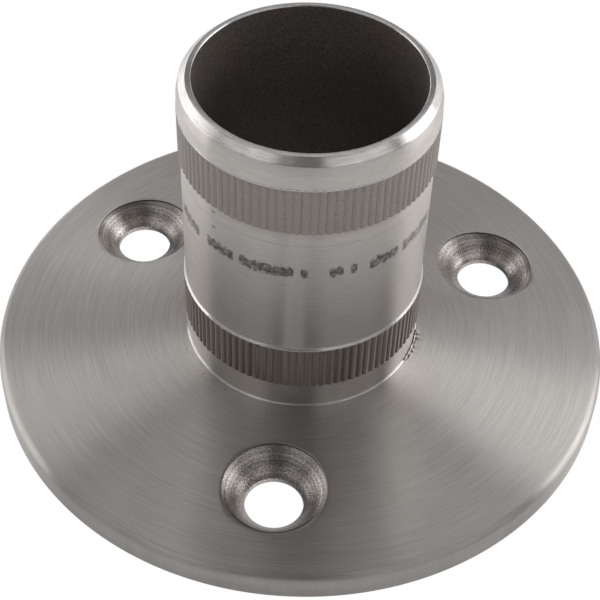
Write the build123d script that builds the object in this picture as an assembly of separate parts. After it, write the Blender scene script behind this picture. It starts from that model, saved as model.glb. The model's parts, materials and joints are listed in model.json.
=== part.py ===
from build123d import *

import os
from math import cos, pi, radians, sin, tan

# Round stanchion base, in millimetres. A crowned disc is screwed to the deck through
# three countersunk holes. A knurled tube spigot stands in the disc's bore and is welded
# to it from below. A rail tube of 42.4 x 2.0 mm slides over the spigot.
# Frame: origin at the centre of the disc's underside, +Z up along the spigot.

# Flange disc
DISC_R = 50.0            # outer radius
DISC_T = 6.0             # thickness beside the bore
CROWN_Z = 5.5            # height of the crowned top on the screw holes' circle
RIM_ROUND = 1.3          # radius of the rounded top edge
RIM_Z = 4.8              # height where the crown meets the rounded edge
RIM_BREAK = 0.2          # chamfer under the rim
RELIEF_DEPTH = 1.0       # the underside is dished by this much
LAND_W = 5.5             # width of the flat ring that bears on the deck
DISC_BORE_R = 19.0       # bore for the spigot
BORE_BREAK = 0.22        # edge break round the top of that bore

# Screw holes, for M8 countersunk screws
HOLE_COUNT = 3
HOLE_PITCH_R = 35.0
HOLE_FIRST_DEG = 30.0    # one hole then lies straight towards -Y
HOLE_R = 4.5
SINK_R = 8.0             # radius of the countersink where it meets the crowned top
SINK_ANGLE_DEG = 90.0

# Spigot tube
SPIGOT_TOP = 56.0        # 50 mm above the disc
BORE_R = 16.8
COLLAR_R = 18.9          # plain part that stands in the disc's bore
MID_R = 18.85            # plain part between the knurled bands
BAND_R = 19.05           # plain band above the upper knurl
NOSE_R = 18.7            # end of the lead-in taper
MOUTH_R = 17.65          # inner edge of the end chamfer
BAND_TOP = 53.4
NOSE_Z = 55.0
BORE_EDGE = 0.15         # edge break of the bore at the top

# Straight knurl
KNURL_PITCH = 1.2
KNURL_TIP_R = 19.18      # just inside the 38.4 mm bore of the rail tube
KNURL_DEPTH = 0.42
CREST_SHARE = 0.34       # share of the pitch that is left as flat crest
LOWER_KNURL = (10.7, 18.8, 19.2)    # bottom, end of full height, end of the ledge above it
UPPER_KNURL = (43.1, 51.1, 51.4)
CUT_MARGIN = 1.0         # how far cutting shapes reach past the surface they cut

# Weld under the disc
BEVEL = 2.4              # weld preparation on the disc's bore, at 45 degrees
SPIGOT_BOTTOM = 2.4      # the tube ends above the deck, and the weld covers its end
WELD_INNER_R = 17.5
WELD_LOW_R = 19.7
WELD_LOW_Z = 0.45        # the weld's lowest ring, clear of the deck


def turned(profile):
    """A solid turned about Z from a closed wire of (radius, height) points."""
    face = make_face(Plane.XZ * profile)
    return revolve(face, axis=Axis.Z)


def knurl_band(bottom, full_top, ledge_top, end_r):
    """Points of one knurled band's outline, with the sloping ledge at its top."""
    return [
        (KNURL_TIP_R, bottom),
        (KNURL_TIP_R, full_top),
        (end_r, ledge_top),
    ]


def tooth_outline():
    """Corner points of the toothed circle that the knurling tool leaves."""
    teeth = round(2 * pi * KNURL_TIP_R / KNURL_PITCH)
    step = 2 * pi / teeth
    half_crest = step * CREST_SHARE / 2
    corners = []
    for tooth in range(teeth):
        middle = tooth * step
        for radius, angle in (
            (KNURL_TIP_R, middle - half_crest),
            (KNURL_TIP_R, middle + half_crest),
            (KNURL_TIP_R - KNURL_DEPTH, middle + step / 2),
        ):
            corners.append((radius * cos(angle), radius * sin(angle)))
    return corners


def knurl_cutter(bottom, top):
    """Everything outside the toothed circle, from the bottom of a band to its top."""
    teeth = make_face(Polyline(*tooth_outline(), close=True))
    ring = make_face(CenterArc((0, 0), KNURL_TIP_R + CUT_MARGIN, 0, 360)) - teeth
    return extrude(Pos(0, 0, bottom) * ring, amount=top - bottom, dir=(0, 0, 1))


def spigot_tube():
    outline = [
        (BORE_R, SPIGOT_BOTTOM),
        (COLLAR_R, SPIGOT_BOTTOM),
        (COLLAR_R, LOWER_KNURL[0]),
        *knurl_band(*LOWER_KNURL, MID_R),
        (MID_R, UPPER_KNURL[0]),
        *knurl_band(*UPPER_KNURL, BAND_R),
        (BAND_R, BAND_TOP),
        (NOSE_R, NOSE_Z),
        (MOUTH_R, SPIGOT_TOP),
        (BORE_R + BORE_EDGE, SPIGOT_TOP),
        (BORE_R, SPIGOT_TOP - BORE_EDGE),
    ]
    tube = turned(Polyline(*outline, close=True))
    for bottom, _, top in (LOWER_KNURL, UPPER_KNURL):
        tube -= knurl_cutter(bottom, top)
    return tube


def disc_blank():
    land_inner = DISC_R - LAND_W
    rim_inner = DISC_R - RIM_ROUND
    rim_low = RIM_Z - RIM_ROUND
    bevel_top = RELIEF_DEPTH + BEVEL
    crown = ThreePointArc(
        (rim_inner, RIM_Z),
        (HOLE_PITCH_R, CROWN_Z),
        (DISC_BORE_R + BORE_BREAK, DISC_T),
    )
    rim = RadiusArc((DISC_R, rim_low), (rim_inner, RIM_Z), -RIM_ROUND)
    underside = Polyline(
        (DISC_BORE_R + BORE_BREAK, DISC_T),
        (DISC_BORE_R, DISC_T - BORE_BREAK),
        (DISC_BORE_R, bevel_top),
        (DISC_BORE_R + BEVEL, RELIEF_DEPTH),
        (land_inner - RELIEF_DEPTH, RELIEF_DEPTH),
        (land_inner, 0),
        (DISC_R - RIM_BREAK, 0),
        (DISC_R, RIM_BREAK),
        (DISC_R, rim_low),
    )
    return turned(Wire([*underside.edges(), *rim.edges(), *crown.edges()]))


def screw_hole():
    """Through hole and countersink, as one cutting shape on the Z axis."""
    flare = tan(radians(SINK_ANGLE_DEG / 2))
    sink_bottom = CROWN_Z - (SINK_R - HOLE_R) / flare
    cut_top = CROWN_Z + CUT_MARGIN
    outline = [
        (0, -CUT_MARGIN),
        (HOLE_R, -CUT_MARGIN),
        (HOLE_R, sink_bottom),
        (SINK_R + CUT_MARGIN * flare, cut_top),
        (0, cut_top),
    ]
    return turned(Polyline(*outline, close=True))


def flange_disc():
    disc = disc_blank()
    for number in range(HOLE_COUNT):
        angle = radians(HOLE_FIRST_DEG + number * 360 / HOLE_COUNT)
        place = Pos(HOLE_PITCH_R * cos(angle), HOLE_PITCH_R * sin(angle), 0)
        disc -= place * screw_hole()
    return disc


def weld_bead():
    """Ring of weld that fills the bevel and laps over the tube's end."""
    bevel_top = RELIEF_DEPTH + BEVEL
    joint = Polyline(
        (WELD_INNER_R, SPIGOT_BOTTOM),
        (COLLAR_R, SPIGOT_BOTTOM),
        (COLLAR_R, bevel_top),
        (DISC_BORE_R, bevel_top),
        (DISC_BORE_R + BEVEL, RELIEF_DEPTH),
    )
    belly = ThreePointArc(
        (DISC_BORE_R + BEVEL, RELIEF_DEPTH),
        (WELD_LOW_R, WELD_LOW_Z),
        (WELD_INNER_R, SPIGOT_BOTTOM),
    )
    return turned(Wire([*joint.edges(), *belly.edges()]))


os.makedirs("parts", exist_ok=True)
for node, solid in (
    ("flange_disc", flange_disc()),
    ("spigot_tube", spigot_tube()),
    ("weld_bead", weld_bead()),
):
    export_step(solid, f"parts/{node}.step")
    print(node, round(solid.volume), "mm3")
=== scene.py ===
import json
import math
import random

import bmesh
import bpy
from mathutils import Matrix, Quaternion, Vector
from mathutils import noise as noises


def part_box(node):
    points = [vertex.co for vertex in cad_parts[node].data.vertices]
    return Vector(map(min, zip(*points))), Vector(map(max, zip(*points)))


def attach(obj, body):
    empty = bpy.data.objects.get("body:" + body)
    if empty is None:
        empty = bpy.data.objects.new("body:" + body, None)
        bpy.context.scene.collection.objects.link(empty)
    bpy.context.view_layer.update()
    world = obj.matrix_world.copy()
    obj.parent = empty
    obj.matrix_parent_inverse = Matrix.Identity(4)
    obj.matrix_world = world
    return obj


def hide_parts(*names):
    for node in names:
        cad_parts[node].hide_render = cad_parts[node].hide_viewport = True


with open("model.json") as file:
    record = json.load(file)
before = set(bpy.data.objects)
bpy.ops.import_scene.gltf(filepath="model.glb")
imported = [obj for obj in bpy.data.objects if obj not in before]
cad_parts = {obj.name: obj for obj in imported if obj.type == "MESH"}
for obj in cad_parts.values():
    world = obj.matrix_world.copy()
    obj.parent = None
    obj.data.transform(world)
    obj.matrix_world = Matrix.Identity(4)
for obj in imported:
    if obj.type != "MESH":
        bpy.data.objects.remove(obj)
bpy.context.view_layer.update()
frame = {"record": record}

# Stanchion base: a brushed disc with countersunk screw holes, a knurled tube spigot and the
# weld under the disc. Shapes are worked out in millimetres in the row's frame, and MM turns
# them into metres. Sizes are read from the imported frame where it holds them.
MM = 0.001
SEED = 7
mounts = {m["name"]: m for m in frame["record"]["mounts"]}
screws = mounts["deck_screws"]["dims"]
disc_low, disc_high = (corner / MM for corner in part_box("flange_disc"))
tube_low, tube_high = (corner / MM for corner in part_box("spigot_tube"))
weld_low, weld_high = (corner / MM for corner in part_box("weld_bead"))

DISC_R = min(disc_high.x, disc_high.y, -disc_low.x, -disc_low.y)
DISC_TOP = disc_high.z
RELIEF_Z = mounts["deck_screws"]["pos_m"][2] / MM    # height of the dished underside
HOLE_R = screws["hole_r_mm"]
HOLE_PITCH_R = screws["pcd_mm"] / 2
HOLE_ANGLES = [270 + k * 360 / screws["count"] for k in range(screws["count"])]
TIP_R = tube_high.x
BORE_R = mounts["spigot_bore"]["dims"]["r_mm"]
BAND_R = mounts["tube_spigot"]["dims"]["r_mm"]

# Disc
DISC_BORE_R = 19.0
BORE_BREAK = 0.22        # edge break round the bore's top
RIM_ROUND = 1.3
RIM_Z = 4.8              # height of the crown where the rounded rim starts
RIM_BREAK = 0.2
LAND_W = 5.5             # flat ring under the rim
BEVEL = weld_high.z - RELIEF_Z
SINK_R = 8.0             # countersink
SINK_STEP_R = 5.8        # below this radius the countersink is a little steeper
SINK_LOW_Z = 1.85        # height of the countersink's lower edge
SINK_WALL = 0.3          # short upright wall at the countersink's edge
SINK_BREAK = 0.03        # its broken edge
SINK_DEEPER = 0.2        # the two holes at the back are cut this much deeper
RIM_STEPS = 8            # rings of mesh round the rim's rounded edge
DISC_COLUMNS = 360
PATCH_COLUMNS = 17       # half the width of the patch of mesh round a hole, in columns
PATCH_ROWS = 10          # half its depth, in rows
TOP_ROW = 1.0            # spacing of the rows of mesh on the crown
UNDER_ROW = 0.75         # and on the underside

# Spigot
COLLAR_R = 18.9
MID_R = 18.85
NOSE_R = 18.7
MOUTH_R = 17.65
BAND_TOP = 53.4
NOSE_Z = 55.0
EDGE = 0.07              # radius of its turned edges
MOUTH_BREAK = 0.15       # edge break between the mouth and the bore
KNURL_PITCH = 1.2
KNURL_DEPTH = 0.24
CREST_SHARE = 0.22       # share of the pitch that is flat crest

# Each knurled band: bottom, end of full height, top of the ledge, and the radius above it
KNURLS = ((10.7, 18.8, 19.2, MID_R), (43.1, 51.1, 51.4, BAND_R))
TEETH = round(2 * math.pi * TIP_R / KNURL_PITCH)

# Smudges where a line of print ran round the spigot. A group is a stretch from and to, in
# degrees, and holds the blobs whose middles lie in it.
INK_Z = 35.3
INK_PITCH = 3.15         # degrees from one blob to the next
INK_GROUPS = (
    (201, 220), (227, 243), (247, 271), (274, 277), (287, 293), (297, 299),
    (306, 321), (325, 349),
)

# Two short marks above and below the scribed groove: heights, and degrees round the spigot
GROOVE_Z = (40.45, 40.7)
MARKS_Z = ((38.7, 39.0), (41.6, 41.9))
MARKS_TURN = (230.5, 232.5)

# Weld
WELD_INNER_R = 17.5
WELD_SIDES = 13          # strips of mesh across the bead
WELD_PULL_R = 20.0       # the point that pulls the bead's section down
WELD_PULL_Z = -0.57
WELD_RIPPLES = 104
WELD_RIPPLE_STEPS = 6    # columns of mesh in a ripple
WELD_RIPPLE = 0.2        # depth of its ripples

# An open spot in the seam between disc and tube, with a burr standing in it
SEAM = 0.14              # size of the fillet that closes the seam elsewhere
FLAW_FROM, FLAW_TO = 336, 360
FLAW_DEPTH = 0.6
FLAW_REACH = 1.2         # how far from the bore the disc's edge has given way
SEAM_STEPS = 345
BURR_STEPS = 70
BURR_FOOT_Z = 4.0


# ---------------------------------------------------------------- node helpers


class Nodes:
    """Short ways to wire up one material's nodes."""

    def __init__(self, name):
        self.material = bpy.data.materials.new(name)
        self.material.use_nodes = True
        self.tree = self.material.node_tree
        self.tree.nodes.clear()

    def add(self, kind, *inputs, out=0, **settings):
        node = self.tree.nodes.new(kind)
        for name, value in settings.items():
            setattr(node, name, value)
        for place, value in enumerate(inputs):
            self.put(node.inputs[place], value)
        return node.outputs[out]

    def put(self, socket, value):
        if isinstance(value, bpy.types.NodeSocket):
            self.tree.links.new(value, socket)
        elif value is not None:
            socket.default_value = value

    def math(self, operation, a, b=None, clamp=False):
        return self.add("ShaderNodeMath", a, b, operation=operation, use_clamp=clamp)

    def vector(self, operation, a, b=None, out=0):
        return self.add("ShaderNodeVectorMath", a, b, operation=operation, out=out)

    def scaled(self, vector, factor):
        node = self.tree.nodes.new("ShaderNodeVectorMath")
        node.operation = "SCALE"
        self.put(node.inputs[0], vector)
        self.put(node.inputs["Scale"], factor)
        return node.outputs[0]

    def ramp(self, value, low, high, to_low=0.0, to_high=1.0):
        """value from low..high to to_low..to_high, smooth at both ends and held outside."""
        node = self.tree.nodes.new("ShaderNodeMapRange")
        node.interpolation_type = "SMOOTHSTEP"
        for place, item in enumerate((value, low, high, to_low, to_high)):
            self.put(node.inputs[place], item)
        return node.outputs[0]

    def window(self, value, low, high, soft):
        """1 between low and high, 0 outside, over a soft edge."""
        rise = self.ramp(value, low - soft, low + soft)
        fall = self.ramp(value, high - soft, high + soft, 1.0, 0.0)
        return self.math("MULTIPLY", rise, fall)

    def noise(self, vector, scale=1.0, detail=2.0, roughness=0.5):
        node = self.tree.nodes.new("ShaderNodeTexNoise")
        self.put(node.inputs["Vector"], vector)
        node.inputs["Scale"].default_value = scale
        node.inputs["Detail"].default_value = detail
        node.inputs["Roughness"].default_value = roughness
        return node.outputs[0]

    def mix(self, factor, a, b):
        node = self.tree.nodes.new("ShaderNodeMix")
        node.data_type = "FLOAT"
        self.put(node.inputs[0], factor)
        self.put(node.inputs[2], a)
        self.put(node.inputs[3], b)
        return node.outputs[0]

    def mix_color(self, factor, a, b, blend="MIX"):
        node = self.tree.nodes.new("ShaderNodeMix")
        node.data_type = "RGBA"
        node.blend_type = blend
        self.put(node.inputs[0], factor)
        self.put(node.inputs[6], a)
        self.put(node.inputs[7], b)
        return node.outputs[2]

    def place_mm(self):
        """The point on the object, in millimetres, and its X, Y and Z."""
        coord = self.tree.nodes.new("ShaderNodeTexCoord").outputs["Object"]
        point = self.scaled(coord, 1 / MM)
        split = self.tree.nodes.new("ShaderNodeSeparateXYZ")
        self.put(split.inputs[0], point)
        return point, split.outputs[0], split.outputs[1], split.outputs[2]

    def join(self, x, y, z):
        return self.add("ShaderNodeCombineXYZ", x, y, z)

    def ring_point(self, x, y, centre, across, along, z=0.0):
        """Noise space where a texture runs in circles round a centre, in millimetres.

        across is cycles per millimetre outwards; along is how often it changes in a turn.
        """
        dx = self.math("SUBTRACT", x, centre[0])
        dy = self.math("SUBTRACT", y, centre[1])
        flat = self.join(dx, dy, 0.0)
        radius = self.vector("LENGTH", flat, out=1)
        turn = self.scaled(self.vector("NORMALIZE", flat), along)
        depth = self.math("ADD", self.math("MULTIPLY", radius, across), z)
        return self.vector("ADD", turn, self.join(0.0, 0.0, depth)), radius

    def shader(self, color, roughness, normal, tangent=None, metallic=1.0, anisotropic=0.0):
        bsdf = self.tree.nodes.new("ShaderNodeBsdfPrincipled")
        self.put(bsdf.inputs["Base Color"], color)
        self.put(bsdf.inputs["Roughness"], roughness)
        self.put(bsdf.inputs["Metallic"], metallic)
        self.put(bsdf.inputs["Normal"], normal)
        bsdf.inputs["Anisotropic"].default_value = anisotropic
        bsdf.inputs["Anisotropic Rotation"].default_value = 0.25
        if tangent is not None:
            self.put(bsdf.inputs["Tangent"], tangent)
        output = self.tree.nodes.new("ShaderNodeOutputMaterial")
        self.tree.links.new(bsdf.outputs[0], output.inputs[0])
        return self.material

    def bump(self, height, strength, distance_mm):
        node = self.tree.nodes.new("ShaderNodeBump")
        node.inputs["Strength"].default_value = strength
        node.inputs["Distance"].default_value = distance_mm * MM
        self.put(node.inputs["Height"], height)
        return node.outputs[0]


# ------------------------------------------------------------------- mesh work


class Build:
    """Collects the points and faces of one piece, in millimetres."""

    def __init__(self):
        self.points = []
        self.faces = []
        self.slots = []

    def point(self, x, y, z):
        self.points.append((x, y, z))
        return len(self.points) - 1

    def face(self, corners, slot=0):
        self.faces.append(corners)
        self.slots.append(slot)

    def bridge(self, loop_a, loop_b, slot=0):
        """Quads between two closed loops of the same length."""
        count = len(loop_a)
        for i in range(count):
            j = (i + 1) % count
            self.face((loop_a[i], loop_a[j], loop_b[j], loop_b[i]), slot)

    def strip(self, loops):
        """An open run of closed loops, with both ends filled in."""
        for before, after in zip(loops, loops[1:]):
            self.bridge(before, after)
        self.face(tuple(loops[0][::-1]))
        self.face(tuple(loops[-1]))

    def piece(self, name, materials, sharp_deg=35):
        mesh = bpy.data.meshes.new(name)
        mesh.from_pydata([Vector(p) * MM for p in self.points], [], self.faces)
        for material in materials:
            mesh.materials.append(material)
        mesh.polygons.foreach_set("material_index", self.slots)
        work = bmesh.new()
        work.from_mesh(mesh)
        bmesh.ops.recalc_face_normals(work, faces=work.faces)
        for face in work.faces:
            face.smooth = True
        work.to_mesh(mesh)
        work.free()
        mesh.set_sharp_from_angle(angle=math.radians(sharp_deg))
        piece = bpy.data.objects.new(name, mesh)
        bpy.context.scene.collection.objects.link(piece)
        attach(piece, "root")
        return piece


def polar(radius, degrees, z):
    angle = math.radians(degrees)
    return radius * math.cos(angle), radius * math.sin(angle), z


def softened(outline, radius):
    """A closed outline of (r, z, ...) corners, each rounded off by three points."""
    soft = []
    count = len(outline)
    for i, corner in enumerate(outline):
        before, here, after = (Vector(outline[(i + k) % count][:2]) for k in (-1, 0, 1))
        back, ahead = before - here, after - here
        room = min(radius, back.length / 3, ahead.length / 3)
        start = here + back.normalized() * room
        end = here + ahead.normalized() * room
        middle = (start + end) / 4 + here / 2
        for point, extra in ((start, outline[i - 1][2:]), (middle, corner[2:]), (end, corner[2:])):
            soft.append((point.x, point.y, *extra))
    return soft


def divided(outline, step):
    """The same closed outline with no two neighbours more than a step apart.

    The last item of each point is the step for the stretch that starts there, or None.
    """
    fine = []
    count = len(outline)
    for i, start in enumerate(outline):
        end = outline[(i + 1) % count]
        a, b = Vector(start[:2]), Vector(end[:2])
        parts = max(1, math.ceil((b - a).length / (start[-1] or step)))
        for part in range(parts):
            here = a.lerp(b, part / parts)
            fine.append((here.x, here.y, *start[2:-1]))
    return fine


# ------------------------------------------------------------------------ disc


def crown(radius):
    """Height of the disc's crowned top."""
    bore_edge = DISC_BORE_R + BORE_BREAK
    rim_inner = DISC_R - RIM_ROUND
    fall = (DISC_TOP - RIM_Z) / (rim_inner ** 2 - bore_edge ** 2)
    return DISC_TOP - fall * (radius ** 2 - bore_edge ** 2)


def deeper(centre):
    """How much deeper than the front hole a hole is cut."""
    return SINK_DEEPER if centre.y > 0 else 0.0


def sink_edge(direction, centre, reach):
    """Point where the countersink meets the crown, seen from its centre."""
    rise = crown((centre + direction * SINK_R).length) - crown(centre.length)
    return centre + direction * (SINK_R + deeper(centre) + rise + reach)


def patch_columns(angle):
    """Columns of the disc's mesh that the patch round a hole covers."""
    column = round(angle * DISC_COLUMNS / 360)
    return [(column + k) % DISC_COLUMNS for k in range(-PATCH_COLUMNS, PATCH_COLUMNS + 1)]


def holed_sheet(build, radii, height, patch_first, hole_edge, slot):
    """A ring-shaped face with a hole at each screw. Returns its inner and outer loops, and
    the loop round each hole."""
    rows = len(radii)
    patch_last = patch_first + 2 * PATCH_ROWS
    inside, covered = set(), set()
    for angle in HOLE_ANGLES:
        columns = patch_columns(angle)
        inside |= {(i, c) for i in range(patch_first + 1, patch_last) for c in columns[1:-1]}
        covered |= {(i, c) for i in range(patch_first, patch_last) for c in columns[:-1]}
    grid = {}
    for i, radius in enumerate(radii):
        for c in range(DISC_COLUMNS):
            if (i, c) not in inside:
                grid[i, c] = build.point(*polar(radius, c * 360 / DISC_COLUMNS, height(radius)))
    for i in range(rows - 1):
        for c in range(DISC_COLUMNS):
            if (i, c) not in covered:
                d = (c + 1) % DISC_COLUMNS
                build.face((grid[i, c], grid[i, d], grid[i + 1, d], grid[i + 1, c]), slot)
    holes = []
    for angle in HOLE_ANGLES:
        columns = patch_columns(angle)
        border = [(patch_first, c) for c in columns[:-1]]
        border += [(i, columns[-1]) for i in range(patch_first, patch_last)]
        border += [(patch_last, c) for c in columns[:0:-1]]
        border += [(i, columns[0]) for i in range(patch_last, patch_first, -1)]
        outer = [grid[key] for key in border]
        holes.append(patch(build, outer, angle, height, hole_edge, slot))
    inner_loop = [grid[0, c] for c in range(DISC_COLUMNS)]
    outer_loop = [grid[rows - 1, c] for c in range(DISC_COLUMNS)]
    return inner_loop, outer_loop, holes


def hole_directions(angle):
    """Directions from a hole's centre to its patch's border on the crown."""
    half = math.radians(PATCH_COLUMNS * 360 / DISC_COLUMNS)
    wide = 2 * HOLE_PITCH_R * math.sin(half / 2)
    deep = PATCH_ROWS * TOP_ROW
    across = [wide * k / PATCH_COLUMNS for k in range(-PATCH_COLUMNS, PATCH_COLUMNS)]
    along = [deep * k / PATCH_ROWS for k in range(-PATCH_ROWS, PATCH_ROWS)]
    spots = [(-deep, v) for v in across] + [(u, wide) for u in along]
    spots += [(deep, -v) for v in across] + [(-u, -wide) for u in along]
    turn = Matrix.Rotation(math.radians(angle), 2)
    return [(turn @ Vector(spot)).normalized() for spot in spots]


def patch(build, outer, angle, height, hole_edge, slot):
    """Rings of mesh from a patch's border in to its hole. Returns the hole's loop."""
    centre = Vector(polar(HOLE_PITCH_R, angle, 0)[:2])
    borders = [Vector(build.points[i][:2]) for i in outer]
    edge = [hole_edge(direction, centre) for direction in hole_directions(angle)]
    previous = outer
    for share in (0.3, 0.6, 0.85, 1.0):
        ring = []
        for border, rim in zip(borders, edge):
            spot = border.lerp(rim, share)
            ring.append(build.point(spot.x, spot.y, height(spot.length)))
        build.bridge(previous, ring, slot)
        previous = ring
    return previous


def ring_at(build, centre, directions, radius, z):
    """A loop round a hole's centre, with a point in each direction."""
    return [build.point(*(centre + d * radius), z) for d in directions]


def flaw(radius, degrees):
    """How far the bore's edge has broken back at this angle, in millimetres."""
    middle, half = (FLAW_FROM + FLAW_TO) / 2, (FLAW_TO - FLAW_FROM) / 2
    share = max(0.0, 1 - abs(degrees - middle) / half)
    ragged = 0.6 + 0.9 * noises.noise(Vector((degrees * 0.9, 3.0, 0.0)))
    near = max(0.0, 1 - (radius - DISC_BORE_R) / FLAW_REACH)
    return FLAW_DEPTH * min(1.0, 3 * share) * max(0.1, ragged) * near


def disc_loop(build, radius, z):
    step = 360 / DISC_COLUMNS
    return [build.point(*polar(radius, c * step, z)) for c in range(DISC_COLUMNS)]


def hole_rows(row):
    """Radii of the rows of mesh that the patches round the holes lie in."""
    return [HOLE_PITCH_R + k * row for k in range(-PATCH_ROWS, PATCH_ROWS + 1)]


def top_sheet(build):
    rim_inner = DISC_R - RIM_ROUND
    radii = [DISC_BORE_R + BORE_BREAK + 0.1 * k * k for k in range(6)]
    radii += list(range(22, int(HOLE_PITCH_R - PATCH_ROWS * TOP_ROW)))
    first = len(radii)
    radii += hole_rows(TOP_ROW)
    radii += [46.0, 47.0, 48.0, rim_inner - 0.15, rim_inner]
    return holed_sheet(build, radii, crown, first, lambda d, c: sink_edge(d, c, 0.05), 0)


def under_sheet(build):
    radii = [DISC_BORE_R + BEVEL, 23.0, 24.5, 26.0]
    first = len(radii)
    radii += hole_rows(UNDER_ROW)
    radii += [43.0, DISC_R - LAND_W - RELIEF_Z]
    return holed_sheet(build, radii, lambda r: RELIEF_Z, first, lambda d, c: c + d * HOLE_R, 2)


def rim_and_land(build, top, under):
    """The rounded rim, the upright edge and the flat land, between the two sheets."""
    rim_inner = DISC_R - RIM_ROUND
    rim_low = RIM_Z - RIM_ROUND
    previous = top
    for k in range(1, RIM_STEPS + 1):
        turn = math.radians(90 - k * 90 / RIM_STEPS)
        radius = rim_inner + RIM_ROUND * math.cos(turn)
        ring = disc_loop(build, radius, rim_low + RIM_ROUND * math.sin(turn))
        build.bridge(previous, ring)
        previous = ring
    for radius, z, slot in (
        (DISC_R, 2.5, 0), (DISC_R, 1.2, 0), (DISC_R, RIM_BREAK, 0), (DISC_R - RIM_BREAK, 0.0, 2),
        (DISC_R - LAND_W / 2, 0.0, 2), (DISC_R - LAND_W, 0.0, 2),
    ):
        ring = disc_loop(build, radius, z)
        build.bridge(previous, ring, slot)
        previous = ring
    build.bridge(previous, under, 2)


def disc_bore(build, top, under):
    """The bore with its broken upper edge, and the welding bevel under it."""
    previous = top
    for radius, z in (
        (DISC_BORE_R + 0.13, DISC_TOP - 0.03), (DISC_BORE_R + 0.04, DISC_TOP - 0.1),
        (DISC_BORE_R, DISC_TOP - BORE_BREAK), (DISC_BORE_R, 4.8), (DISC_BORE_R, RELIEF_Z + BEVEL),
    ):
        ring = disc_loop(build, radius, z)
        build.bridge(previous, ring)
        previous = ring
    build.bridge(previous, under, 2)


def disc_piece(plate, sink, under, edge_shade):
    build = Build()
    top_inner, top_outer, sinks = top_sheet(build)
    under_inner, under_outer, lows = under_sheet(build)
    rim_and_land(build, top_outer, under_outer)
    disc_bore(build, top_inner, under_inner)
    for angle, top_loop, low_loop in zip(HOLE_ANGLES, sinks, lows):
        countersink(build, angle, top_loop, low_loop)
    break_seam(build)
    piece = build.piece("disc_plate", (plate, sink, under, edge_shade))
    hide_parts("flange_disc")


def countersink(build, angle, top_loop, low_loop):
    """The cone and the short hole under it, from the crown's edge to the underside's."""
    centre = Vector(polar(HOLE_PITCH_R, angle, 0)[:2])
    directions = hole_directions(angle)
    level = crown(HOLE_PITCH_R) - deeper(centre)
    previous = top_loop
    # The short wall below the edge takes slot 3, the painted shade.
    for reach, drop, slot in ((0.0, SINK_BREAK, 0), (-SINK_BREAK, SINK_WALL, 3)):
        ring = []
        for direction in directions:
            spot = sink_edge(direction, centre, reach)
            ring.append(build.point(spot.x, spot.y, crown(spot.length) - drop))
        build.bridge(previous, ring, slot)
        previous = ring
    step_z = level - (SINK_R - SINK_STEP_R)
    for radius, z in ((7.2, level - 0.8), (6.5, level - 1.5), (SINK_STEP_R, step_z),
                      (5.1, step_z - 0.78), (HOLE_R + 0.05, SINK_LOW_Z + 0.05)):
        ring = ring_at(build, centre, directions, radius, z)
        build.bridge(previous, ring, 1)
        previous = ring
    ring = ring_at(build, centre, directions, HOLE_R, SINK_LOW_Z - 0.06)
    build.bridge(previous, ring, 1)
    build.bridge(ring, low_loop, 1)


def break_seam(build):
    """Pushes the bore's upper edge back, unevenly, at the open spot in the seam."""
    for i, (x, y, z) in enumerate(build.points):
        radius = math.hypot(x, y)
        degrees = math.degrees(math.atan2(y, x)) % 360
        near = radius < DISC_BORE_R + FLAW_REACH and z > 4.5
        if near and FLAW_FROM < degrees < FLAW_TO:
            push = flaw(radius, degrees)
            scale = (radius + push) / radius
            build.points[i] = (x * scale, y * scale, z - 0.25 * push)


# ---------------------------------------------------------------------- spigot


# How much lower each tooth's crest is, and how far it stands off its place, in pitches
TEETH_RANDOM = random.Random(SEED)
CREST_LOSS = [TEETH_RANDOM.uniform(0.0, 0.05) for _ in range(TEETH)]
TOOTH_SHIFT = [TEETH_RANDOM.uniform(-0.06, 0.06) for _ in range(TEETH)]

# Where the columns of mesh lie across a tooth, in pitches
TOOTH_STEPS = (0.0, 0.17, 0.33, 0.5, 0.67, 0.83)


def knurl_radius(profile_r, z, tooth, share):
    """Radius of a knurled band at one height and one place across a tooth."""
    for bottom, full_top, top, _ in KNURLS:
        if bottom - 0.001 <= z <= top + 0.001 and profile_r > MID_R - 0.001:
            flank = (1 - CREST_SHARE) / 2
            climb = min(1.0, min(share, 1 - share) / flank)
            run_out = min(1.0, max(0.3, (full_top + 0.1 - z) / 0.5))
            loss = CREST_LOSS[tooth] * (1 if climb == 1 else 0)
            worn = 0.02 * noises.noise(Vector((tooth * 1.7, z * 1.3, 5.0)))
            low = TIP_R - KNURL_DEPTH * run_out * (1 - climb) - loss - abs(worn)
            return min(profile_r, low)
    return profile_r


def spigot_outline():
    """Closed outline: r, z, material place, and the step of the mesh along it."""
    # Slot 3, cut, is the cut steel with its painted highlight: the bottom end, the ledges over the
    # knurls, the nose and the mouth.
    outside, knurled, bore, cut = 0, 1, 2, 3
    outline = [
        (BORE_R, tube_low.z, cut, None),
        (COLLAR_R, tube_low.z, outside, None),
        (COLLAR_R, KNURLS[0][0], knurled, None),
    ]
    for i, (bottom, full_top, ledge_top, end_r) in enumerate(KNURLS):
        if i:
            outline.append((MID_R, bottom, knurled, None))
        outline.append((TIP_R, bottom, knurled, 0.5))
        outline.append((TIP_R, full_top, cut, 0.06))
        outline.append((end_r, ledge_top, outside, None))
    outline += [
        (BAND_R, BAND_TOP, outside, None),
        (NOSE_R, NOSE_Z, cut, 0.3),
        (MOUTH_R, tube_high.z, cut, None),
        (BORE_R + MOUTH_BREAK, tube_high.z, cut, None),
        (BORE_R, tube_high.z - MOUTH_BREAK, bore, None),
    ]
    return divided(softened(outline, EDGE), 1.5)


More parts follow.
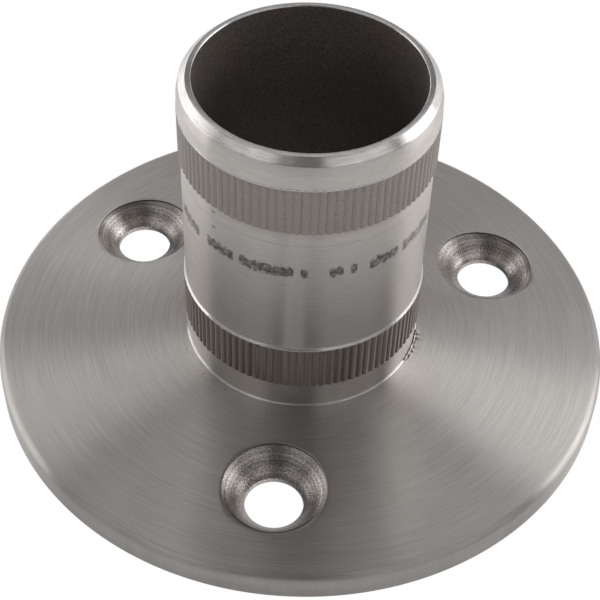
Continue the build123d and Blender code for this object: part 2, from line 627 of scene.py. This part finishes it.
def spigot_piece(turned, knurled, bore, cut):
    build = Build()
    outline = spigot_outline()
    pitch = 360 / TEETH
    loops = []
    for radius, z, _ in outline:
        loop = []
        for tooth in range(TEETH):
            for share in TOOTH_STEPS:
                here = knurl_radius(radius, z, tooth, share)
                toothed = here < radius or radius > BAND_R + 0.02
                turn = (tooth + share + (TOOTH_SHIFT[tooth] if toothed else 0)) * pitch
                loop.append(build.point(*polar(here, turn, z)))
        loops.append(loop)
    for i, (_, _, slot) in enumerate(outline):
        build.bridge(loops[i], loops[(i + 1) % len(loops)], slot)
    piece = build.piece("knurled_spigot", (turned, knurled, bore, cut), 28)
    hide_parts("spigot_tube")


def seam_piece(material):
    """Thin fillet that closes the seam between disc and tube, but for the open spot."""
    build = Build()
    loops = []
    for k in range(SEAM_STEPS + 1):
        degrees = FLAW_TO - 1 + (FLAW_FROM - FLAW_TO + 362) * k / SEAM_STEPS
        size = SEAM + 0.03 * noises.noise(Vector(polar(5.0, degrees, 8.0)))
        size *= min(1.0, 0.3 + min(k, SEAM_STEPS - k) / 6)
        inner, outer = COLLAR_R - 0.02, COLLAR_R + size + 0.1
        top = DISC_TOP + size
        loops.append([
            build.point(*polar(inner, degrees, DISC_TOP - 0.3)),
            build.point(*polar(DISC_BORE_R - 0.01, degrees, DISC_TOP - 0.3)),
            build.point(*polar(outer + 0.05, degrees, DISC_TOP - 0.05)),
            build.point(*polar(outer - 0.1, degrees, DISC_TOP + 0.07)),
            build.point(*polar(COLLAR_R + 0.08, degrees, top - 0.06)),
            build.point(*polar(inner, degrees, top)),
        ])
    build.strip(loops)
    piece = build.piece("seam_fillet", (material,), 60)


def burr_piece(material):
    """A ragged sliver of metal that stands in the open spot of the seam."""
    build = Build()
    luck = random.Random(SEED + 1)
    loops = []
    for k in range(BURR_STEPS + 1):
        degrees = FLAW_FROM + 1 + (FLAW_TO - FLAW_FROM - 2) * k / BURR_STEPS
        fade = min(1.0, 4 * min(k, BURR_STEPS - k) / BURR_STEPS + 0.05)
        tall = fade * (0.2 + 0.5 * max(0.0, noises.noise(Vector((k * 0.45, 1.0, 0.0))) + 0.2))
        inner = COLLAR_R + 0.14 + luck.uniform(0.0, 0.06)
        outer = inner + fade * luck.uniform(0.12, 0.2) + 0.02
        loops.append([
            build.point(*polar(COLLAR_R - 0.02, degrees, BURR_FOOT_Z)),
            build.point(*polar(outer, degrees, BURR_FOOT_Z)),
            build.point(*polar(outer + 0.05, degrees, DISC_TOP - 0.15 + tall * 0.6)),
            build.point(*polar(inner + 0.02, degrees, DISC_TOP - 0.1 + tall)),
        ])
    build.strip(loops)
    piece = build.piece("seam_burr", (material,), 60)


def weld_section():
    """Corners of the bead's section that lie on the tube and the disc, then its belly."""
    top = weld_high.z
    fixed = [(COLLAR_R, tube_low.z), (COLLAR_R, top), (DISC_BORE_R, top)]
    start = Vector((DISC_BORE_R + BEVEL, RELIEF_Z))
    pull = Vector((WELD_PULL_R, WELD_PULL_Z))
    end = Vector((WELD_INNER_R, tube_low.z))
    belly = []
    for k in range(WELD_SIDES + 1):
        t = k / WELD_SIDES
        belly.append(start * (1 - t) ** 2 + pull * 2 * t * (1 - t) + end * t ** 2)
    return fixed, belly


def weld_piece(material):
    """Rippled bead: each ripple is a crescent."""
    build = Build()
    fixed, belly = weld_section()
    columns = WELD_RIPPLES * WELD_RIPPLE_STEPS
    loops = [[] for _ in range(len(fixed) + len(belly))]
    for c in range(columns):
        degrees = c * 360 / columns
        for k, (radius, z) in enumerate(fixed):
            loops[k].append(build.point(*polar(radius, degrees, z)))
        for k, spot in enumerate(belly):
            side = 2 * k / WELD_SIDES - 1
            phase = (c / WELD_RIPPLE_STEPS + 1.1 * side * side) % 1.0
            wander = 0.05 * noises.noise(Vector(polar(6.0, degrees, k * 0.3)))
            sink = (WELD_RIPPLE * phase * phase + abs(wander)) * (1 - side ** 4)
            z = max(spot.y, weld_low.z) + sink
            loops[len(fixed) + k].append(build.point(*polar(spot.x, degrees, z)))
    for i in range(len(loops)):
        build.bridge(loops[i], loops[(i + 1) % len(loops)])
    piece = build.piece("rippled_weld", (material,), 50)
    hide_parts("weld_bead")


# ------------------------------------------------------------------- materials


def around(n, x, y, centre=(0.0, 0.0)):
    """Direction that runs round an upright axis through the centre."""
    return n.vector("NORMALIZE", n.join(
        n.math("SUBTRACT", centre[1], y), n.math("SUBTRACT", x, centre[0]), 0.0
    ))


def tinted(n, color, shade):
    """The colour, lighter or darker by shade."""
    base = color if isinstance(color, bpy.types.NodeSocket) else (*color, 1.0)
    return n.mix_color(1.0, base, n.join(shade, shade, shade), "MULTIPLY")


def turned_lines(n, x, y, z):
    """Noise drawn out into fine lines that run round the spigot."""
    ring = n.scaled(n.vector("NORMALIZE", n.join(x, y, 0.0)), 8.0)
    place = n.vector("ADD", ring, n.join(0.0, 0.0, n.math("MULTIPLY", z, 4.5)))
    return n.noise(place, detail=4.0)


def plate_top():
    """Brushed in circles, with stray arcs across them and a few pits by the tube."""
    n = Nodes("plate_top")
    point, x, y, z = n.place_mm()
    down = n.math("MULTIPLY", z, 6.5)
    fine, radius = n.ring_point(x, y, (0.0, 0.0), 6.5, 3.5, down)
    lines = n.noise(fine, detail=4.0, roughness=0.65)
    arcs = n.math("ADD", *(
        n.noise(n.ring_point(x, y, centre, 4.5, 5.0)[0], detail=2.0)
        for centre in ((13.0, 5.0), (-10.0, -7.0))
    ))
    marks = n.math("ADD", lines, n.math("MULTIPLY", arcs, 0.2))
    shade = n.ramp(marks, 0.5, 0.9, 0.88, 1.09)
    speck = n.noise(point, scale=2.4, detail=1.0)
    left = n.math("LESS_THAN", n.math("ADD", x, y), -22.0)
    pit = n.math("MULTIPLY", n.ramp(speck, 0.72, 0.76), n.ramp(radius, 20.5, 22.5, 1.0, 0.0))
    pit = n.math("MULTIPLY", pit, left)
    shade = n.math("MULTIPLY", shade, n.math("SUBTRACT", 1.0, pit))
    color = tinted(n, (0.635, 0.605, 0.58), shade)
    rough = n.ramp(n.noise(point, scale=0.12), 0.35, 0.65, 0.33, 0.36)
    height = n.math("SUBTRACT", lines, pit)
    return n.shader(color, rough, n.bump(height, 0.15, 0.005), around(n, x, y), anisotropic=1.0)


def countersunk():
    """Cut with a tool that chattered: dark, with rings and glittering grain, and a painted
    highlight on the steeper lower cone.
    """
    n = Nodes("countersunk")
    point, x, y, _ = n.place_mm()
    tangent = (0.0, 0.0, 0.0)
    reach = 0.0
    for angle in HOLE_ANGLES:
        centre = polar(HOLE_PITCH_R, angle, 0)
        flat = n.join(n.math("SUBTRACT", x, centre[0]), n.math("SUBTRACT", y, centre[1]), 0.0)
        away = n.vector("LENGTH", flat, out=1)
        near = n.math("LESS_THAN", away, SINK_R + 4)
        tangent = n.vector("ADD", tangent, n.scaled(around(n, x, y, centre), near))
        reach = n.math("ADD", reach, n.math("MULTIPLY", away, near))
    grain = n.noise(point, scale=3.8, detail=3.0, roughness=0.75)
    rings = n.noise(n.join(n.math("MULTIPLY", reach, 2.6), 0.0, 0.0), detail=2.0)
    marks = n.math("ADD", grain, n.math("MULTIPLY", rings, 0.65))
    shade = n.ramp(marks, 0.6, 1.05, 0.42, 1.4)
    # Painted highlight: the steeper lower part of the cone is painted up to half again lighter,
    # for the light it catches.
    low = n.ramp(reach, 5.7, 6.1, 1.45, 1.0)
    color = tinted(n, (0.36, 0.33, 0.315), n.math("MULTIPLY", shade, low))
    return n.shader(color, 0.2, n.bump(marks, 0.8, 0.05), tangent, anisotropic=0.9)


def painted_shade_edge():
    """Painted shade: a near-black colour on the short step round each countersink, where shadow
    falls.
    """
    n = Nodes("painted_shade_edge")
    point = n.place_mm()[0]
    shade = n.ramp(n.noise(point, scale=2.0), 0.35, 0.65, 0.7, 1.6)
    return n.shader(tinted(n, (0.1, 0.09, 0.085), shade), 0.6, None)


def plate_under():
    """Faced in a lathe and left duller than the top."""
    n = Nodes("plate_under")
    point, x, y, _ = n.place_mm()
    feed, radius = n.ring_point(x, y, (0.0, 0.0), 3.2, 2.0)
    lines = n.noise(feed, detail=2.0)
    stain = n.noise(point, scale=0.07, detail=4.0, roughness=0.6)
    feed_shade = n.ramp(lines, 0.35, 0.65, 0.85, 1.08)
    shade = n.math("MULTIPLY", feed_shade, n.ramp(stain, 0.3, 0.7, 0.85, 1.05))
    scorch = n.ramp(radius, 22.5, 27.0, 0.75, 1.0)
    color = tinted(n, (0.47, 0.46, 0.445), n.math("MULTIPLY", shade, scorch))
    return n.shader(color, 0.45, n.bump(lines, 0.5, 0.02), around(n, x, y), anisotropic=0.8)


def ink_marks(n, turn, z):
    """The smudged rest of a printed line: rows of blobs with nothing left to read."""
    place = n.math("MULTIPLY", turn, 1 / INK_PITCH)
    cell = n.math("FLOOR", place)
    luck = n.tree.nodes.new("ShaderNodeTexWhiteNoise")
    luck.noise_dimensions = "1D"
    n.put(luck.inputs["W"], cell)
    middle = n.math("ADD", cell, 0.5)
    across = n.math("MULTIPLY", n.math("SUBTRACT", place, middle), 1.2)
    level = n.math("ADD", INK_Z - 0.2, n.math("MULTIPLY", luck.outputs[0], 0.4))
    rise = n.math("SUBTRACT", z, level)
    size = n.vector("LENGTH", n.join(across, n.math("MULTIPLY", rise, 0.85), 0.0), out=1)
    blur = n.noise(n.join(place, z, 0.0), scale=1.5, detail=3.0)
    blob = n.ramp(n.math("ADD", size, n.math("MULTIPLY", blur, 1.6)), 1.42, 1.8, 1.0, 0.0)
    thin = n.noise(n.join(place, z, 7.0), scale=1.3, detail=2.0)
    blob = n.math("MULTIPLY", blob, n.ramp(thin, 0.35, 0.7, 1.0, 0.5))
    centre = n.math("MULTIPLY", middle, INK_PITCH)
    shown = 0.0
    for start, end in INK_GROUPS:
        shown = n.math("ADD", shown, n.window(centre, start, end, 0.1))
    marks = n.math("ADD", *(n.window(z, *heights, 0.15) for heights in MARKS_Z))
    marks = n.math("MULTIPLY", marks, n.window(turn, *MARKS_TURN, 0.5))
    return n.math("ADD", n.math("MULTIPLY", blob, shown), marks, clamp=True)


def turned_steel():
    """Fine turned, painted brighter towards the top as painted light, with a scribed groove and
    the smudges.
    """
    n = Nodes("turned_steel")
    _, x, y, z = n.place_mm()
    turn = n.math("MULTIPLY", n.math("ARCTAN2", y, x), 180 / math.pi)
    turn = n.math("MODULO", n.math("ADD", turn, 360.0), 360.0)
    lines = turned_lines(n, x, y, z)
    groove = n.window(z, *GROOVE_Z, 0.1)
    ink = n.math("MULTIPLY", ink_marks(n, turn, z), 0.75)
    shade = n.ramp(lines, 0.3, 0.7, 0.94, 1.05)
    shade = n.math("SUBTRACT", shade, n.math("MULTIPLY", groove, 0.12))
    # Painted light, not wear: darker low on the spigot and lighter towards the top, with the
    # collar under the lower knurl a little lighter again, for how the light falls.
    worn = n.math("MULTIPLY", n.ramp(z, 20.0, 52.0, 0.8, 1.22), n.ramp(z, 12.0, 18.0, 1.12, 1.0))
    shade = n.math("MULTIPLY", shade, worn)
    metal = tinted(n, (0.72, 0.68, 0.65), shade)
    color = n.mix_color(ink, metal, (0.04, 0.04, 0.042, 1.0))
    rough = n.mix(ink, 0.31, 0.5)
    height = n.math("SUBTRACT", lines, groove)
    return n.shader(color, rough, n.bump(height, 0.15, 0.005), around(n, x, y), anisotropic=1.0)


def cut_steel_painted_highlight():
    """Freshly cut edges, brighter than the rest: partly the bare cut metal, partly a painted
    highlight where the edges catch the light.
    """
    n = Nodes("cut_steel_painted_highlight")
    _, x, y, z = n.place_mm()
    lines = turned_lines(n, x, y, z)
    color = tinted(n, (0.83, 0.81, 0.795), n.ramp(lines, 0.3, 0.7, 0.92, 1.06))
    return n.shader(color, 0.26, n.bump(lines, 0.15, 0.005), around(n, x, y), anisotropic=0.9)


def knurled_steel():
    """Rolled teeth, darker in the grooves than on the crests, and browner and darker on the lower
    band.
    """
    n = Nodes("knurled_steel")
    point, x, y, z = n.place_mm()
    radius = n.vector("LENGTH", n.join(x, y, 0.0), out=1)
    high = n.ramp(z, 20.0, 42.0)
    # The grooves are darker than the crests, more so on the lower band.
    groove_tone = n.mix(high, 0.84, 0.97)
    crest = n.mix(n.ramp(radius, TIP_R - KNURL_DEPTH, TIP_R - 0.05), groove_tone, 1.06)
    place = n.vector("ADD", point, n.join(0.0, 0.0, n.math("MULTIPLY", z, 1.2)))
    grain = n.noise(place, scale=4.5, detail=3.0, roughness=0.7)
    shade = n.math("MULTIPLY", crest, n.ramp(grain, 0.35, 0.65, 0.78, 1.14))
    metal = n.mix_color(high, (0.34, 0.295, 0.275, 1.0), (0.44, 0.4, 0.375, 1.0))
    color = tinted(n, metal, shade)
    return n.shader(color, 0.34, n.bump(grain, 0.3, 0.02), around(n, x, y), anisotropic=0.8)


def bore_steel():
    """Inside of the tube: dark mill scale with a little brown in it, painted lighter towards the
    mouth as painted light falling in from above.
    """
    n = Nodes("bore_steel")
    point, _, _, z = n.place_mm()
    speck = n.noise(point, scale=3.6, detail=3.0, roughness=0.7)
    stain = n.noise(point, scale=0.12, detail=3.0)
    # Painted light: the colour goes from 1.1 times deep inside to 1.7 times at the mouth, where
    # light falls into the tube.
    shade = n.math("MULTIPLY", n.ramp(speck, 0.3, 0.7, 0.6, 1.4), n.ramp(z, 40.0, 55.0, 1.1, 1.7))
    brown = n.ramp(stain, 0.4, 0.65)
    scale = n.mix_color(brown, (0.115, 0.106, 0.101, 1.0), (0.133, 0.109, 0.095, 1.0))
    color = tinted(n, scale, shade)
    return n.shader(color, 0.7, n.bump(speck, 0.5, 0.1), metallic=0.6)


def weld_metal():
    """Bead with bands of heat colour beside it."""
    n = Nodes("weld_metal")
    point, x, y, _ = n.place_mm()
    radius = n.vector("LENGTH", n.join(x, y, 0.0), out=1)
    drift = n.math("MULTIPLY", n.noise(point, scale=0.3, detail=3.0), 1.2)
    place = n.math("ADD", radius, drift)
    straw = n.window(place, 20.6, 21.6, 0.4)
    blue = n.window(place, 18.2, 19.2, 0.4)
    color = n.mix_color(straw, (0.40, 0.385, 0.37, 1.0), (0.42, 0.31, 0.17, 1.0))
    color = n.mix_color(n.math("MULTIPLY", blue, 0.6), color, (0.2, 0.22, 0.33, 1.0))
    return n.shader(color, 0.38, n.bump(n.noise(point, scale=3.0), 0.15, 0.05))


def burr_metal_painted_highlight():
    """Torn metal with darker nicks, painted near white: partly the torn metal's own brightness,
    partly a painted highlight where its fragments catch the light.
    """
    n = Nodes("burr_metal_painted_highlight")
    point, x, y, _ = n.place_mm()
    grain = n.noise(point, scale=2.0, detail=2.0)
    color = tinted(n, (0.92, 0.91, 0.9), n.ramp(grain, 0.35, 0.5, 0.5, 1.05))
    return n.shader(color, 0.3, n.bump(grain, 0.3, 0.03), around(n, x, y), anisotropic=0.9)


# ------------------------------------------------------------ camera and lights


# The camera's place, as seen from the point it turns about: degrees to the right of the
# front, degrees up, its roll, and its distance in metres
CAMERA_AZIMUTH = 5.18
CAMERA_ELEVATION = 46.53
CAMERA_ROLL = 2.11
CAMERA_DISTANCE = 0.225
CAMERA_PIVOT_Z = 0.00998
CAMERA_LENS = 81.87
CAMERA_SHIFT_X = -0.0037

# Curved softboxes on a dome round the part: name, azimuth and elevation as seen from the
# part, width and height in degrees, and how bright they are.
DOME = 1.0               # its radius in metres
DOME_Z = 0.02            # height of its middle
PANEL_W = 36.0           # a softbox is made of flat panels no wider than this, in degrees
WORLD_LIGHT = 0.13
FLOOR_LIGHT = 0.17
UNDER_LIGHT = (0.05, 1.05)    # under the floor, from the left to the right
FLOOR_R = 6000.0
FLOOR_Z = -0.02          # just clear of the disc's land
FLOOR_SIDES = 72
SOFTBOXES = (
    ("right", 22.5, 28.0, 36.0, 28.0, 2.06),
    ("right_low", 31.5, 7.0, 72.0, 14.0, 0.83),
    ("right_far", 49.5, 28.0, 18.0, 28.0, 0.66),
    ("left", 162.0, 28.0, 27.0, 28.0, 1.09),
    ("left_low", 153.0, 7.0, 81.0, 14.0, 1.7),
    ("left_near", 184.5, 28.0, 18.0, 28.0, 0.64),
    ("back_low", 90.0, 7.0, 45.0, 14.0, 1.09),
    ("back_right", 40.0, 49.0, 50.0, 14.0, 0.8),
    ("back", 115.0, 49.0, 100.0, 14.0, 0.44),
    ("back_high", 90.0, 63.0, 90.0, 14.0, 0.59),
    ("front_left", 220.0, 42.0, 52.0, 28.0, 0.55),
    ("front_right", 324.0, 42.0, 63.0, 28.0, 0.62),
    ("front_left_high", 234.0, 63.0, 54.0, 14.0, 0.39),
)


def place_camera():
    azimuth, elevation, roll = (
        math.radians(a) for a in (CAMERA_AZIMUTH, CAMERA_ELEVATION, CAMERA_ROLL)
    )
    back = Vector((
        math.sin(azimuth) * math.cos(elevation),
        -math.cos(azimuth) * math.cos(elevation),
        math.sin(elevation),
    ))
    data = bpy.data.cameras.new("camera")
    data.lens = CAMERA_LENS
    data.sensor_width = 36.0
    data.shift_x = CAMERA_SHIFT_X
    data.clip_start = 0.01
    camera = bpy.data.objects.new("camera", data)
    camera.location = Vector((0, 0, CAMERA_PIVOT_Z)) + back * CAMERA_DISTANCE
    camera.rotation_mode = "QUATERNION"
    camera.rotation_quaternion = back.to_track_quat("Z", "Y") @ Quaternion((0, 0, 1), roll)
    bpy.context.scene.collection.objects.link(camera)
    bpy.context.scene.camera = camera


def panel(name, azimuth, elevation, width, height, glow):
    a, e = math.radians(azimuth), math.radians(elevation)
    away = Vector((math.cos(a) * math.cos(e), math.sin(a) * math.cos(e), math.sin(e)))
    data = bpy.data.lights.new(name, "AREA")
    data.shape = "RECTANGLE"
    data.size = 2 * DOME * math.tan(math.radians(width / 2)) * math.cos(e)
    data.size_y = 2 * DOME * math.tan(math.radians(height / 2))
    data.energy = math.pi * glow * data.size * data.size_y
    light = bpy.data.objects.new(name, data)
    light.location = Vector((0, 0, DOME_Z)) + away * DOME
    light.rotation_mode = "QUATERNION"
    light.rotation_quaternion = away.to_track_quat("Z", "Y")
    bpy.context.scene.collection.objects.link(light)


def softbox(name, azimuth, elevation, width, height, glow):
    """A curved softbox as a row of flat panels."""
    count = math.ceil(width / PANEL_W)
    share = width / count
    for k in range(count):
        panel(name, azimuth + (k + 0.5) * share - width / 2, elevation, share, height, glow)


def eye_or_scene(tree, seen, lit):
    """The first shader for what the camera sees directly, the second for everything else."""
    eye = tree.nodes.new("ShaderNodeLightPath").outputs["Is Camera Ray"]
    both = tree.nodes.new("ShaderNodeMixShader")
    tree.links.new(eye, both.inputs[0])
    tree.links.new(lit, both.inputs[1])
    tree.links.new(seen, both.inputs[2])
    return both.outputs[0]


def ranged(tree, value, low, high):
    """A node that takes value from low..high to the range set on its To Min and To Max."""
    node = tree.nodes.new("ShaderNodeMapRange")
    node.inputs["From Min"].default_value = low
    node.inputs["From Max"].default_value = high
    tree.links.new(value, node.inputs["Value"])
    return node


def backdrop():
    """White to the eye. The part is lit by a little of it, and more from under the floor."""
    world = bpy.data.worlds.new("studio")
    world.use_nodes = True
    tree = world.node_tree
    tree.nodes.clear()
    seen, lit = (tree.nodes.new("ShaderNodeBackground") for _ in range(2))
    for light in (seen, lit):
        light.inputs["Color"].default_value = (1.0, 1.0, 1.0, 1.0)
    split = tree.nodes.new("ShaderNodeSeparateXYZ")
    tree.links.new(tree.nodes.new("ShaderNodeTexCoord").outputs["Generated"], split.inputs[0])
    under = ranged(tree, split.outputs[0], -1.0, 1.0)
    under.inputs["To Min"].default_value = UNDER_LIGHT[0]
    under.inputs["To Max"].default_value = UNDER_LIGHT[1]
    half = ranged(tree, split.outputs[2], -0.01, 0.01)
    tree.links.new(under.outputs[0], half.inputs["To Min"])
    half.inputs["To Max"].default_value = WORLD_LIGHT
    tree.links.new(half.outputs[0], lit.inputs["Strength"])
    output = tree.nodes.new("ShaderNodeOutputWorld")
    tree.links.new(eye_or_scene(tree, seen.outputs[0], lit.outputs[0]), output.inputs[0])
    bpy.context.scene.world = world


def studio():
    bpy.context.scene.view_settings.view_transform = "Standard"
    backdrop()
    for box in SOFTBOXES:
        softbox(*box)


def floor_material():
    """White from above and not in the way from below; matt and pale to everything else."""
    n = Nodes("floor")
    tree = n.tree
    white = tree.nodes.new("ShaderNodeEmission")
    clear = tree.nodes.new("ShaderNodeBsdfTransparent")
    sides = tree.nodes.new("ShaderNodeMixShader")
    tree.links.new(tree.nodes.new("ShaderNodeNewGeometry").outputs["Backfacing"], sides.inputs[0])
    tree.links.new(white.outputs[0], sides.inputs[1])
    tree.links.new(clear.outputs[0], sides.inputs[2])
    matt = tree.nodes.new("ShaderNodeBsdfPrincipled")
    matt.inputs["Base Color"].default_value = (0.8, 0.8, 0.8, 1.0)
    matt.inputs["Roughness"].default_value = 1.0
    matt.inputs["Emission Color"].default_value = (1.0, 1.0, 1.0, 1.0)
    matt.inputs["Emission Strength"].default_value = FLOOR_LIGHT
    output = tree.nodes.new("ShaderNodeOutputMaterial")
    tree.links.new(eye_or_scene(tree, sides.outputs[0], matt.outputs[0]), output.inputs[0])
    return n.material


def floor():
    """A plain floor, open under the disc so that the underside can be lit and seen."""
    build = Build()
    step = 360 / FLOOR_SIDES
    opening, edge = (
        [build.point(*polar(radius, c * step, FLOOR_Z)) for c in range(FLOOR_SIDES)]
        for radius in (DISC_R - 1, FLOOR_R)
    )
    build.bridge(edge, opening)
    mesh = bpy.data.meshes.new("floor")
    mesh.from_pydata([Vector(p) * MM for p in build.points], [], build.faces)
    mesh.materials.append(floor_material())
    piece = bpy.data.objects.new("floor", mesh)
    bpy.context.scene.collection.objects.link(piece)


disc_piece(plate_top(), countersunk(), plate_under(), painted_shade_edge())
# cut is the cut steel, painted brighter as a painted highlight; the spigot's cut edges and the
# seam fillet take it.
cut = cut_steel_painted_highlight()
spigot_piece(turned_steel(), knurled_steel(), bore_steel(), cut)
weld_piece(weld_metal())
seam_piece(cut)
burr_piece(burr_metal_painted_highlight())
place_camera()
studio()
floor()
